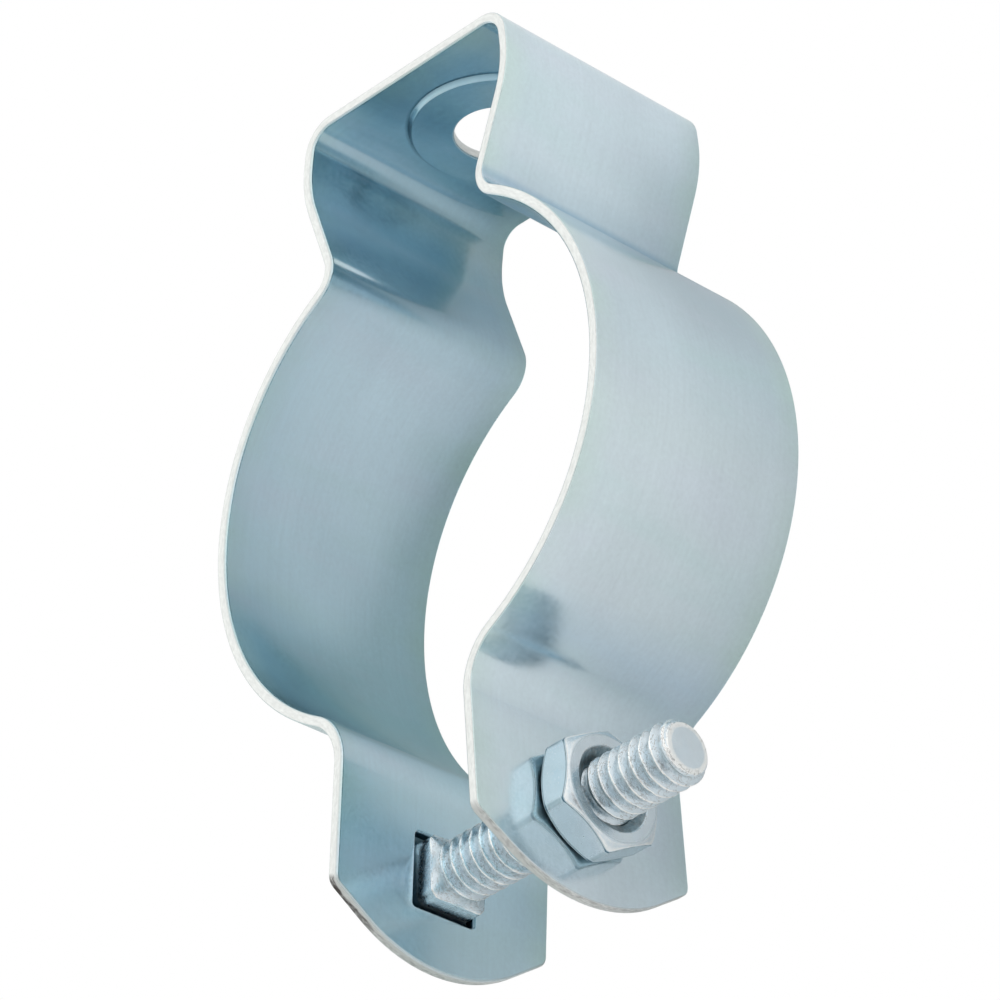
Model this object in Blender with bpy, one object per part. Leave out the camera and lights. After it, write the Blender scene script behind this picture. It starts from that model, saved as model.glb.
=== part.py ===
"""Conduit hanger: a folded steel strap that hangs by the hole in its flat top, with a conduit in its
round part, closed below by a carriage bolt and a hex nut through its two ears.

Metres, +Z up. The origin is the middle of the top hole, in the plane of the strap's flat top face. The
conduit runs along Y. The rear leg, with the square hole, is on the -X side, and the front leg, with the nut,
on +X.
"""
import math

import bmesh
import bpy
from mathutils import Matrix, Vector
from mathutils.geometry import delaunay_2d_cdt

MM = 0.001

# Strap, as a strip of sheet steel
STRIP_WIDTH = 25.4 * MM
SHEET = 1.1 * MM
EDGE_ROUND = 0.25 * MM
BEND_STEP = math.radians(13)
RING_STEP = math.radians(5)

# Flat top and its pressed seat around the fixing hole
TOP_FLAT = 21.6 * MM
TOP_HOLE_RADIUS = 4.5 * MM
SEAT_RADIUS = 8.6 * MM
SEAT_SHOULDER = 0.45 * MM
SEAT_DEPTH = 0.55 * MM
SEAT_DISH = 0.3 * MM

# One leg from the top down. Radii are those of the inside of each bend.
CORNER_RADIUS = 2.3 * MM
WALL_FLARE = math.radians(7)
WALL_LENGTH = 1.1 * MM
WAIST_RADIUS = 12.0 * MM
WAIST_LEAN = math.radians(20)
WAIST_LENGTH = 7.2 * MM
NECK_RADIUS = 2.4 * MM
RING_START = math.radians(31.5)
NECK_LENGTH = 0.8 * MM
RING_RADIUS = 25.85 * MM
RING_TUCK = math.radians(62.2)
FOOT_RADIUS = 5.2 * MM
EAR_FLARE = math.radians(2.5)
EAR_LENGTH = 16.6 * MM
# How much further the front leg's foot stands open than the rear leg's
FRONT_OPENING = math.radians(1.7)

# An ear's end: an arc that runs on into two straight lines, with rounded corners at the strip's edges
END_RADIUS = 16.7 * MM
END_SLOPE = math.radians(32.4)
END_CORNER_RADIUS = 1.3 * MM
END_DEPTH = (END_RADIUS * (1 - math.cos(END_SLOPE))
             + (STRIP_WIDTH / 2 - END_RADIUS * math.sin(END_SLOPE)) * math.tan(END_SLOPE))

# Bolt, 1/4 in with 20 threads to the inch
THREAD_RADIUS = 3.1 * MM
THREAD_PITCH = 1.27 * MM
THREAD_DEPTH = 0.71 * MM
THREAD_CREST = 0.16 * MM
THREAD_FLANK = THREAD_DEPTH * math.tan(math.radians(30))
# The least plain length before the first turn of the thread and after its last
THREAD_LEAD = 0.3 * MM
NECK_WIDTH = 6.1 * MM
NECK_CORNER_RADIUS = 3.97 * MM
NECK_DEPTH = 3.8 * MM
NECK_CHAMFER = 0.7 * MM
HEAD_RADIUS = 7.2 * MM
HEAD_HEIGHT = 3.3 * MM
HEAD_RIM = 0.6 * MM
TIP_RADIUS = 2.1 * MM
TIP_BEYOND_NUT = 9.2 * MM

# Nut
NUT_WIDTH = 10.8 * MM
NUT_THICKNESS = 3.6 * MM
NUT_TURN = math.radians(26)
NUT_FACE_RADIUS = 5.18 * MM
NUT_CHAMFER_SLOPE = math.tan(math.radians(32))
NUT_MOUTH = 0.15 * MM

# Fits
THREAD_CLEARANCE = 0.2 * MM
SEATING_GAP = 0.05 * MM
NECK_SIDE_GAP = 0.3 * MM
SQUARE_HOLE_PLAY = 1.1 * MM
SQUARE_HOLE_CORNER = 0.3 * MM
ROUND_HOLE_PLAY = 1.4 * MM
HOLE_FROM_END = 9.1 * MM
# Where the bolt lies in its holes: to the side in the square one, to the side and up in the round one
SIDE_IN_SQUARE = SQUARE_HOLE_PLAY / 2 - NECK_SIDE_GAP
SIDE_IN_ROUND = 0.15 * MM
UP_IN_ROUND = 0.38 * MM

# How far the tools that cut the nut's hole reach past its faces, and into each other
CUTTER_REACH = 0.5 * MM
CUTTER_OVERLAP = 0.05 * MM

# Points round the bolt and nut, a multiple of 6 for the hexagon and of 8 for the square, and round a hole
AROUND = 24
HOLE_POINTS = 32
ARC_POINTS = 12
CORNER_POINTS = 3
EAR_POINTS = ARC_POINTS + 2 * CORNER_POINTS + 3
DOME_RINGS = 5


def zinc(name, colour, roughness):
    """A bright zinc-plated steel finish."""
    material = bpy.data.materials.new(name)
    material.use_nodes = True
    shader = material.node_tree.nodes["Principled BSDF"]
    shader.inputs["Base Color"].default_value = (*colour, 1)
    shader.inputs["Metallic"].default_value = 1
    shader.inputs["Roughness"].default_value = roughness
    return material


def finished_object(name, bm, material, parent=None):
    """Turn a bmesh into a smooth-shaded object with its faces pointing out."""
    bmesh.ops.recalc_face_normals(bm, faces=bm.faces)
    mesh = bpy.data.meshes.new(name)
    bm.to_mesh(mesh)
    bm.free()
    mesh.shade_smooth()
    mesh.set_sharp_from_angle(angle=math.radians(25))
    if material:
        mesh.materials.append(material)
    thing = bpy.data.objects.new(name, mesh)
    bpy.context.collection.objects.link(thing)
    thing.parent = parent
    return thing


# Strap

def leg_stations(opening):
    """The middle line of one leg on the +X side, as rows of length, x, z and heading.

    The heading is the angle below +X, so a quarter turn is straight down.
    """
    half = SHEET / 2
    down = math.pi / 2
    ring_end = down + RING_TUCK - opening
    runs = [
        (TOP_FLAT / 2, None, None, None),
        (None, CORNER_RADIUS + half, down - WALL_FLARE, BEND_STEP),
        (WALL_LENGTH, None, None, None),
        (None, WAIST_RADIUS + half, down + WAIST_LEAN, BEND_STEP),
        (WAIST_LENGTH, None, None, None),
        (None, NECK_RADIUS + half, RING_START, BEND_STEP),
        (NECK_LENGTH, None, None, None),
        (None, RING_RADIUS + half, ring_end, RING_STEP),
        (None, FOOT_RADIUS + half, down - EAR_FLARE - opening, BEND_STEP),
        (EAR_LENGTH - END_DEPTH, None, None, None),
        (END_DEPTH, None, None, None),
    ]
    s, x, z, heading = 0.0, 0.0, -half, 0.0
    stations = [(s, x, z, heading)]
    for length, radius, new_heading, step in runs:
        if radius is None:
            s += length
            x += length * math.cos(heading)
            z -= length * math.sin(heading)
            stations.append((s, x, z, heading))
            continue
        turn = new_heading - heading
        way = math.copysign(1, turn)
        centre_x = x - way * radius * math.sin(heading)
        centre_z = z - way * radius * math.cos(heading)
        count = max(2, math.ceil(abs(turn) / step))
        for i in range(1, count + 1):
            angle = heading + turn * i / count
            stations.append((s + radius * abs(turn) * i / count,
                             centre_x + way * radius * math.sin(angle),
                             centre_z + way * radius * math.cos(angle), angle))
        s, x, z, heading = stations[-1]
    return stations


def strap_stations():
    """Both legs as one row of length, x, z and outward direction, from the rear ear to the front ear.

    The top is one flat between its two corner bends, so the row has no station at its middle.
    """
    rear = [(-s, -x, z, (-math.sin(h), math.cos(h))) for s, x, z, h in leg_stations(0)]
    front = [(s, x, z, (math.sin(h), math.cos(h))) for s, x, z, h in leg_stations(FRONT_OPENING)]
    return rear[:0:-1] + front[1:]


def pressed(x, y):
    """How far the seat around the top hole is pressed down at a point of the flat top."""
    radius = math.hypot(x, y)
    if radius >= SEAT_RADIUS + SEAT_SHOULDER:
        return 0.0
    if radius >= SEAT_RADIUS:
        return SEAT_DEPTH * (SEAT_RADIUS + SEAT_SHOULDER - radius) / SEAT_SHOULDER
    return SEAT_DEPTH + SEAT_DISH * (SEAT_RADIUS - radius) / (SEAT_RADIUS - TOP_HOLE_RADIUS)


def folded(stations, s, y, lift):
    """The place in space of a point of the flat strip, lifted outward from its middle."""
    last = len(stations) - 2
    i = next((k for k in range(last) if s <= stations[k + 1][0]), last)
    s0, x0, z0, out0 = stations[i]
    s1, x1, z1, out1 = stations[i + 1]
    t = (s - s0) / (s1 - s0)
    out_x = out0[0] + (out1[0] - out0[0]) * t
    out_z = out0[1] + (out1[1] - out0[1]) * t
    drop = pressed(s, y) if abs(s) < TOP_FLAT / 2 else 0.0
    return Vector((x0 + (x1 - x0) * t + out_x * lift, y, z0 + (z1 - z0) * t + out_z * lift - drop))


def inset(loop, distance):
    """A closed outline moved to its left by a distance."""
    moved = []
    for i, (x, y) in enumerate(loop):
        before, after = loop[i - 1], loop[(i + 1) % len(loop)]
        a = Vector((x - before[0], y - before[1])).normalized()
        b = Vector((after[0] - x, after[1] - y)).normalized()
        left_a, left_b = Vector((-a.y, a.x)), Vector((-b.y, b.x))
        side = (left_a + left_b) * (distance / (1 + left_a.dot(left_b)))
        moved.append((x + side.x, y + side.y))
    return moved


def arc(x, y, radius, start, end, count):
    """Points along an arc, its ends included."""
    angles = [start + (end - start) * i / count for i in range(count + 1)]
    return [(x + radius * math.cos(a), y + radius * math.sin(a)) for a in angles]


def ear_end(corner, way):
    """The end of an ear, from one long edge of the strip to the other, in strip coordinates."""
    quarter = math.pi / 2
    turn = quarter - END_SLOPE
    start = -END_CORNER_RADIUS * math.tan(turn / 2)
    across = STRIP_WIDTH / 2 - END_CORNER_RADIUS
    outline = (arc(start, -across, END_CORNER_RADIUS, -quarter, -quarter + turn, CORNER_POINTS)
               + arc(END_DEPTH - END_RADIUS, 0, END_RADIUS, -END_SLOPE, END_SLOPE, ARC_POINTS)
               + arc(start, across, END_CORNER_RADIUS, quarter - turn, quarter, CORNER_POINTS))
    return [(corner + way * x, way * y) for x, y in outline]


def strip_outline(stations):
    """The flat strip's outline, counter-clockwise, with a point on each long edge at each bend line."""
    half = STRIP_WIDTH / 2
    lengths = [row[0] for row in stations[2:-2]]
    near = [(s, -half) for s in lengths]
    far = [(s, half) for s in reversed(lengths)]
    return near + ear_end(stations[-2][0], 1) + far + ear_end(stations[1][0], -1)


def circle(x, y, radius):
    """A clockwise circle, so that its left side is the sheet around a hole."""
    angles = [-2 * math.pi * i / HOLE_POINTS for i in range(HOLE_POINTS)]
    return [(x + radius * math.cos(a), y + radius * math.sin(a)) for a in angles]


def square(x, y, width):
    """A clockwise square hole with its corners slightly rounded by one cut each."""
    half = width / 2
    cut = SQUARE_HOLE_CORNER
    corners = [(-half, -half + cut), (-half, half - cut), (-half + cut, half), (half - cut, half),
               (half, half - cut), (half, -half + cut), (half - cut, -half), (-half + cut, -half)]
    return [(x + dx, y + dy) for dx, dy in corners]


def hole_length(stations, way):
    """The length along the strip at which an ear's hole lies."""
    end = stations[-1][0] if way > 0 else stations[0][0]
    return end - way * HOLE_FROM_END


def inside(point, loop):
    """True if a point is inside a closed outline."""
    x, y = point
    within = False
    for i, (x1, y1) in enumerate(loop):
        x0, y0 = loop[i - 1]
        if (y0 > y) != (y1 > y) and x < x0 + (x1 - x0) * (y - y0) / (y1 - y0):
            within = not within
    return within


def strip_triangles(stations, outer, holes):
    """Points and triangles that fill the strip's flat face, with an edge along every bend line.

    The third value names each outline's points among them.
    """
    points, edges, firsts = [], [], []
    loops = [outer] + holes
    guides = [circle(0, 0, radius) for radius in (SEAT_RADIUS, SEAT_RADIUS + SEAT_SHOULDER)]
    for loop in loops + guides:
        first = len(points)
        firsts.append(first)
        points.extend(Vector(p) for p in loop)
        edges.extend((first + i, first + (i + 1) % len(loop)) for i in range(len(loop)))
    across = len(stations) - 4
    for i in range(across):
        edges.append((i, 2 * across + EAR_POINTS - 1 - i))
    found = delaunay_2d_cdt(points, edges, [], 1, 1e-7)
    places = [tuple(p) for p in found[0]]
    number = {old: new for new, olds in enumerate(found[3]) for old in olds}
    outlines = [[number[first + i] for i in range(len(loop))] for first, loop in zip(firsts, loops)]
    kept = []
    for face in found[2]:
        middle = (sum(places[k][0] for k in face) / 3, sum(places[k][1] for k in face) / 3)
        if inside(middle, outer) and not any(inside(middle, hole) for hole in holes):
            kept.append(face)
    return places, kept, outlines


def make_strap(material):
    stations = strap_stations()
    rear_hole, front_hole = (hole_length(stations, way) for way in (-1, 1))
    outer = strip_outline(stations)
    holes = [circle(0, 0, TOP_HOLE_RADIUS),
             square(rear_hole, 0, NECK_WIDTH + SQUARE_HOLE_PLAY),
             circle(front_hole, 0, THREAD_RADIUS + ROUND_HOLE_PLAY / 2)]
    loops = [outer] + holes
    half = SHEET / 2
    slant = 1 - math.sqrt(0.5)
    # The rounded edge, from the wall of the cut to the face, as distance from the cut and height
    edge = [(0, half - EDGE_ROUND), (slant * EDGE_ROUND, half - slant * EDGE_ROUND), (EDGE_ROUND, half)]

    bm = bmesh.new()
    face_loops = [inset(loop, EDGE_ROUND) for loop in loops]
    places, triangles, outlines = strip_triangles(stations, face_loops[0], face_loops[1:])
    rims = {}
    for way in (1, -1):
        verts = [bm.verts.new(folded(stations, s, y, way * half)) for s, y in places]
        for face in triangles:
            corners = [verts[k] for k in face]
            bm.faces.new(corners if way > 0 else corners[::-1])
        rims[way] = [[verts[k] for k in outline] for outline in outlines]
    for k, loop in enumerate(loops):
        rings = [rims[1][k]]
        for way in (1, -1):
            rows = edge[:2][::-1] if way > 0 else edge[:2]
            for distance, height in rows:
                line = inset(loop, distance)
                rings.append([bm.verts.new(folded(stations, s, y, way * height)) for s, y in line])
        rings.append(rims[-1][k])
        for upper, lower in zip(rings, rings[1:]):
            for i in range(len(loop)):
                j = (i + 1) % len(loop)
                bm.faces.new((upper[i], lower[i], lower[j], upper[j]))
    return finished_object("hanger_strap", bm, material)


def hole_centre(way):
    """The middle of an ear's hole, and the ear's outward direction there."""
    stations = strap_stations()
    out = stations[-1][3] if way > 0 else stations[0][3]
    return folded(stations, hole_length(stations, way), 0, 0), Vector((out[0], 0, out[1]))


# Bolt and nut

def thread_rows():
    """Where a thread's outline turns within one pitch, and its height there as a share of its depth."""
    root = THREAD_PITCH - THREAD_CREST - 2 * THREAD_FLANK
    return [(0, 0), (root, 0), (root + THREAD_FLANK, 1), (root + THREAD_FLANK + THREAD_CREST, 1)]


def ring(bm, x, radius_at):
    """A ring of points around the X axis, with a radius that may change with the angle."""
    verts = []
    for i in range(AROUND):
        angle = 2 * math.pi * i / AROUND
        radius = radius_at(angle) if callable(radius_at) else radius_at
        verts.append(bm.verts.new((x, radius * math.cos(angle), radius * math.sin(angle))))
    return verts


def join_rings(bm, first, second):
    for i in range(AROUND):
        j = (i + 1) % AROUND
        bm.faces.new((first[i], first[j], second[j], second[i]))


def thread(bm, first_ring, last_ring, start, turns, extra=0.0, limit=None):
    """A right-hand helical thread around the X axis, joined to a plain ring at each end.

    It starts at the given x. extra is added to its radius, and limit(x) may cut its crests down.
    """
    outline = thread_rows()
    rows = [(start + THREAD_PITCH * k + x, height) for k in range(turns) for x, height in outline]
    rows.append((start + THREAD_PITCH * turns, 0))
    columns = []
    for i in range(AROUND):
        share = i / AROUND
        angle = 2 * math.pi * share
        column = []
        for x, height in rows:
            place = x + THREAD_PITCH * share
            radius = THREAD_RADIUS - THREAD_DEPTH * (1 - height) + extra
            if limit:
                radius = min(radius, limit(place))
            column.append(bm.verts.new((place, radius * math.cos(angle), radius * math.sin(angle))))
        columns.append(column)
    pitch_rows = len(outline)
    count = len(rows)
    for i in range(AROUND - 1):
        a, b = columns[i], columns[i + 1]
        for m in range(count - 1):
            bm.faces.new((a[m], b[m], b[m + 1], a[m + 1]))
        bm.faces.new((first_ring[i], first_ring[i + 1], b[0], a[0]))
        bm.faces.new((a[-1], b[-1], last_ring[i + 1], last_ring[i]))
    a, b = columns[-1], columns[0]
    for m in range(count - 1 - pitch_rows):
        bm.faces.new((a[m], b[m + pitch_rows], b[m + pitch_rows + 1], a[m + 1]))
    # Where the spiral closes on itself, the thread starts and ends as a short ramp.
    for m in range(pitch_rows):
        bm.faces.new((a[0], b[m], b[m + 1]))
        bm.faces.new((b[-1], a[count - 1 - m], a[count - 2 - m]))
    bm.faces.new((first_ring[-1], first_ring[0], b[0]))
    bm.faces.new((first_ring[-1], b[0], a[0]))
    bm.faces.new((a[-1], b[-1], last_ring[0]))
    bm.faces.new((a[-1], last_ring[0], last_ring[-1]))


def polygon_radius(sides, width, turn=0.0):
    """The radius at any angle of a regular polygon, from its width over flats and a corner's angle."""
    part = 2 * math.pi / sides

    def radius(angle):
        return width / 2 / math.cos((angle - turn) % part - part / 2)
    return radius


def bolt_lengths():
    """The middle of the head's underside, the bolt's direction, and how far on the nut and the tip lie."""
    rear, rear_out = hole_centre(-1)
    front, front_out = hole_centre(1)
    rear += Vector((0, SIDE_IN_SQUARE, 0))
    front += Vector((0, SIDE_IN_ROUND, UP_IN_ROUND))
    axis = (front - rear).normalized()
    grip = (front - rear).length
    # The head and the nut meet the leaning ears at their rims first.
    lean_rear = math.acos(min(1, -axis.dot(rear_out)))
    lean_front = math.acos(min(1, axis.dot(front_out)))
    under_head = SHEET / 2 + HEAD_RADIUS * math.tan(lean_rear) + SEATING_GAP
    nut_back = under_head + grip + SHEET / 2 + NUT_FACE_RADIUS * math.tan(lean_front) + SEATING_GAP
    tip = nut_back + NUT_THICKNESS + TIP_BEYOND_NUT
    return rear - axis * under_head, axis, nut_back, tip


def make_bolt(material, axis_frame, tip):
    bm = bmesh.new()
    top = bm.verts.new((-HEAD_HEIGHT, 0, 0))
    dome_height = HEAD_HEIGHT - HEAD_RIM
    dome_radius = (HEAD_RADIUS ** 2 + dome_height ** 2) / (2 * dome_height)
    dome_angle = math.asin(HEAD_RADIUS / dome_radius)
    rings = []
    for i in range(1, DOME_RINGS + 1):
        angle = dome_angle * i / DOME_RINGS
        x = dome_radius * (1 - math.cos(angle)) - HEAD_HEIGHT
        rings.append(ring(bm, x, dome_radius * math.sin(angle)))
    for i in range(AROUND):
        bm.faces.new((top, rings[0][i], rings[0][(i + 1) % AROUND]))
    rings.append(ring(bm, 0, HEAD_RADIUS))

    flats = polygon_radius(4, NECK_WIDTH, math.pi / 4)
    for x in (0, NECK_DEPTH - NECK_CHAMFER):
        rings.append(ring(bm, x, lambda a: min(flats(a), NECK_CORNER_RADIUS)))
    root = THREAD_RADIUS - THREAD_DEPTH
    rings.append(ring(bm, NECK_DEPTH, root))
    for first, second in zip(rings, rings[1:]):
        join_rings(bm, first, second)

    start = NECK_DEPTH + THREAD_LEAD
    turns = int((tip - start - THREAD_LEAD) / THREAD_PITCH) - 1
    last = ring(bm, tip, TIP_RADIUS)
    thread(bm, rings[-1], last, start, turns, limit=lambda x: TIP_RADIUS + tip - x)
    bm.faces.new(last)
    return finished_object("carriage_bolt", bm, material, axis_frame), start


def cutter(name, bm, parent, x):
    """A helper that only cuts other pieces."""
    thing = finished_object(name, bm, None, parent)
    thing.location.x = x
    thing.hide_render = True
    thing.display_type = "WIRE"
    return thing


def nut_blank():
    """A hexagon with both faces chamfered, before its hole is cut."""
    bm = bmesh.new()
    hexagon = polygon_radius(6, NUT_WIDTH, NUT_TURN)

    def blank_ring(face_x, inward, radius_at):
        verts = []
        for i in range(AROUND):
            angle = NUT_TURN + 2 * math.pi * i / AROUND
            radius = radius_at(angle)
            x = face_x + inward * (radius - NUT_FACE_RADIUS) * NUT_CHAMFER_SLOPE
            verts.append(bm.verts.new((x, radius * math.cos(angle), radius * math.sin(angle))))
        return verts

    rings = [
        blank_ring(0, 1, lambda a: NUT_FACE_RADIUS),
        blank_ring(0, 1, hexagon),
        blank_ring(NUT_THICKNESS, -1, hexagon),
        blank_ring(NUT_THICKNESS, -1, lambda a: NUT_FACE_RADIUS),
    ]
    for first, second in zip(rings, rings[1:]):
        join_rings(bm, first, second)
    bm.faces.new(rings[0])
    bm.faces.new(rings[-1])
    return bm


def make_nut(material, axis_frame, nut_back, thread_start):
    nut = finished_object("hex_nut", nut_blank(), material, axis_frame)
    nut.location.x = nut_back

    # The thread that cuts the nut lies in step with the bolt's, and runs out past both faces.
    bm = bmesh.new()
    root = THREAD_RADIUS - THREAD_DEPTH + THREAD_CLEARANCE
    start = (thread_start - nut_back) % THREAD_PITCH - 3 * THREAD_PITCH
    turns = math.ceil((NUT_THICKNESS - start) / THREAD_PITCH) + 1
    first = ring(bm, start - THREAD_PITCH, root)
    last = ring(bm, start + (turns + 2) * THREAD_PITCH, root)
    thread(bm, first, last, start, turns, extra=THREAD_CLEARANCE)
    bm.faces.new(first)
    bm.faces.new(last)
    tap = cutter("nut_tap", bm, axis_frame, nut_back)

    # A spool whose flared ends cut the mouths of the hole
    bm = bmesh.new()
    core = root - CUTTER_OVERLAP
    flare = THREAD_RADIUS + THREAD_CLEARANCE + NUT_MOUTH - core
    wide = core + flare + CUTTER_REACH
    rings = [ring(bm, x, radius) for x, radius in (
        (-CUTTER_REACH, wide), (flare, core),
        (NUT_THICKNESS - flare, core), (NUT_THICKNESS + CUTTER_REACH, wide))]
    for one, other in zip(rings, rings[1:]):
        join_rings(bm, one, other)
    bm.faces.new(rings[0])
    bm.faces.new(rings[-1])
    mouths = cutter("nut_countersink", bm, axis_frame, nut_back)

    for tool in (tap, mouths):
        cut = nut.modifiers.new(tool.name, "BOOLEAN")
        cut.object = tool
        cut.operation = "DIFFERENCE"
        cut.solver = "EXACT"
    return nut


def main():
    for thing in list(bpy.data.objects):
        bpy.data.objects.remove(thing, do_unlink=True)
    strap_zinc = zinc("zinc_strap", (0.60, 0.66, 0.70), 0.28)
    bolt_zinc = zinc("zinc_bolt", (0.72, 0.75, 0.76), 0.22)
    make_strap(strap_zinc)

    place, axis, nut_back, tip = bolt_lengths()
    axis_frame = bpy.data.objects.new("bolt_axis", None)
    bpy.context.collection.objects.link(axis_frame)
    upward = axis.cross(Vector((0, 1, 0))).normalized()
    turn = Matrix((axis, upward.cross(axis), upward)).transposed()
    axis_frame.matrix_world = Matrix.Translation(place) @ turn.to_4x4()
    bolt, thread_start = make_bolt(bolt_zinc, axis_frame, tip)
    make_nut(bolt_zinc, axis_frame, nut_back, thread_start)


main()
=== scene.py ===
"""Conduit hanger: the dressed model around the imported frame.

The strap, the bolt and the nut are remade finely on the sizes of the solids that they replace.
Metres, +Z up. The conduit would run along Y. The origin is the middle of the hanging hole, in the
plane of the top face.
"""

import math
from bisect import bisect_left

import bmesh
import bpy
from mathutils import Matrix, Vector
from mathutils.geometry import delaunay_2d_cdt


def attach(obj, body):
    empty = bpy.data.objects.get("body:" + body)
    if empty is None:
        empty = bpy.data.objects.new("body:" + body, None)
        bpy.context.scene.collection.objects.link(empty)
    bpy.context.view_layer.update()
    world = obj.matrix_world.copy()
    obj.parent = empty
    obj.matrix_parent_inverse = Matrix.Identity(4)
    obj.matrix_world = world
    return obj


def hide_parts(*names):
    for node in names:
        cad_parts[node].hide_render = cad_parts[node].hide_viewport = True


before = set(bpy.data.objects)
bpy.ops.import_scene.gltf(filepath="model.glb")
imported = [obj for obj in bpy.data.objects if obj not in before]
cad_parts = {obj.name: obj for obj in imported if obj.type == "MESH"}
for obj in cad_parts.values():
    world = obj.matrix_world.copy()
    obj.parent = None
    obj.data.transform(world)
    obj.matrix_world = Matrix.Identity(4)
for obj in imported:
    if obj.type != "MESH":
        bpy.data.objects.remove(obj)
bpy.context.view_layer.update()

MM = 0.001

# Strap, as a strip of sheet steel
STRIP_WIDTH = 25.4 * MM
SHEET = 1.1 * MM
OUTER_EDGE_ROUND = 0.14 * MM
INNER_EDGE_ROUND = 0.30 * MM
EDGE_STEPS = 5
BEND_STEP = math.radians(2.5)
RING_STEP = math.radians(1.5)

# Flat top and its pressed seat around the hanging hole
TOP_FLAT = 21.6 * MM
TOP_HOLE_RADIUS = 4.5 * MM
SEAT_RADIUS = 8.6 * MM
SEAT_SHOULDER = 0.45 * MM
SEAT_DEPTH = 0.55 * MM
SEAT_DISH = 0.3 * MM
SEAT_RINGS = 10
DISH_RINGS = 5

# One leg from the top down. Radii are those of the inside of each bend.
CORNER_RADIUS = 2.3 * MM
WALL_FLARE = math.radians(7)
WALL_LENGTH = 1.1 * MM
WAIST_RADIUS = 12.0 * MM
WAIST_LEAN = math.radians(20)
WAIST_LENGTH = 7.2 * MM
NECK_RADIUS = 2.4 * MM
RING_START = math.radians(31.5)
NECK_LENGTH = 0.8 * MM
RING_RADIUS = 25.85 * MM
RING_TUCK = math.radians(62.2)
FOOT_RADIUS = 5.2 * MM
EAR_FLARE = math.radians(2.5)
EAR_LENGTH = 16.6 * MM
FRONT_OPENING = math.radians(1.7)

# An ear's end: an arc that runs on into two straight lines, with rounded corners at the long edges
END_RADIUS = 16.7 * MM
END_SLOPE = math.radians(32.4)
END_CORNER_RADIUS = 1.3 * MM
END_DEPTH = (END_RADIUS * (1 - math.cos(END_SLOPE))
             + (STRIP_WIDTH / 2 - END_RADIUS * math.sin(END_SLOPE)) * math.tan(END_SLOPE))
ARC_POINTS = 40
CORNER_POINTS = 8
EAR_POINTS = ARC_POINTS + 2 * CORNER_POINTS + 3
HOLE_POINTS = 96
SQUARE_CORNER_STEPS = 5
# Points that are this close together count as one, and so do rows of a spiral.
SAME_POINT = 1e-8
SAME_ROW = 1e-9

# Bolt, 1/4 in with 20 threads to the inch
THREAD_RADIUS = 3.1 * MM
THREAD_PITCH = 1.27 * MM
THREAD_DEPTH = 0.71 * MM
THREAD_CREST = 0.16 * MM
THREAD_FLANK = THREAD_DEPTH * math.tan(math.radians(30))
THREAD_SOFTNESS = 0.07
THREAD_LEAD = 0.3 * MM
# The neck's chamfer ends this far below the crests, and the first groove deepens from there.
THREAD_START_DROP = 0.1 * MM
FIRST_GROOVE_SLOPE = 1.3
# How uneven the rolled thread is, and how deep its nicks are, in millimetres
THREAD_WAVE = 0.014
THREAD_NICK = 0.07
NECK_WIDTH = 6.1 * MM
NECK_CORNER_RADIUS = 4.12 * MM
# The neck is this much wider than the solid's.
NECK_WIDENING = 0.3 * MM
NECK_DEPTH = 3.8 * MM
NECK_CHAMFER = 0.7 * MM
THREAD_START = NECK_DEPTH + THREAD_LEAD
HEAD_RADIUS = 7.2 * MM
HEAD_HEIGHT = 3.3 * MM
HEAD_RIM = 0.6 * MM
DOME_RINGS = 24
# The dome ends a little short of the rim, whose own rings round it off.
DOME_SHARE = 0.985

# The bolt's tip: a flat, a narrow steep edge around it, and a bevel that cuts the thread down
TIP_RADIUS = 2.1 * MM
TIP_BEYOND_NUT = 9.2 * MM
TIP_FLAT_RADIUS = 1.95 * MM
TIP_EDGE = 0.05 * MM
TIP_EDGE_SLOPE = 3.2
TIP_BEVEL_RADIUS = TIP_RADIUS + 0.3 * MM
TIP_BEVEL_SLOPE = 0.8
# Within these lengths of its end the tip is painted lighter, as a painted highlight.
TIP_BRIGHT = 0.15 * MM
TIP_HIGHLIGHT_LENGTH = 0.5 * MM
BOLT_SHARP = math.radians(38)

# Nut
NUT_WIDTH = 10.8 * MM
NUT_THICKNESS = 3.6 * MM
NUT_TURN = math.radians(26)
NUT_FACE_RADIUS = 5.18 * MM
NUT_CHAMFER_SLOPE = math.tan(math.radians(32))
NUT_CORNER_CUT = 0.10 * MM
NUT_EDGE_ROUND = 0.10 * MM
NUT_MOUTH_RADIUS = 4.15 * MM
NUT_MOUTH_SLOPE = 1.2
NUT_SHARP = math.radians(25)
# Painted shade makes the nut's back, its thread and its mouth as dark as grooves. The mouth has a
# brighter rim.
NUT_BACK_SHADE = -1.15
NUT_THREAD_SHADE = -1.7
NUT_MOUTH_SHADE = -1.05
NUT_RIM_LIGHTER = 0.3
NUT_RIM = 0.12 * MM
# The bolt's last groove gets shallow towards the tip, as steeply as the nut's mouth widens, so that
# it clears the nut's thread when the tip has come back into the mouth.
TIP_FILL_RADIUS = 2.9 * MM

# Fits
NUT_CLEARANCE = 0.08 * MM
SEATING_GAP = 0.05 * MM
NECK_SIDE_GAP = 0.3 * MM
SQUARE_HOLE_PLAY = 1.1 * MM
SQUARE_HOLE_CORNER = 0.3 * MM
ROUND_HOLE_PLAY = 1.4 * MM
HOLE_FROM_END = 9.1 * MM
SIDE_IN_SQUARE = SQUARE_HOLE_PLAY / 2 - NECK_SIDE_GAP
SIDE_IN_ROUND = 0.15 * MM
UP_IN_ROUND = 0.38 * MM

AROUND = 72
ROWS_PER_PITCH = 20
ROUND_ANGLES = [2 * math.pi * i / AROUND for i in range(AROUND)]


# Strap

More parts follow.
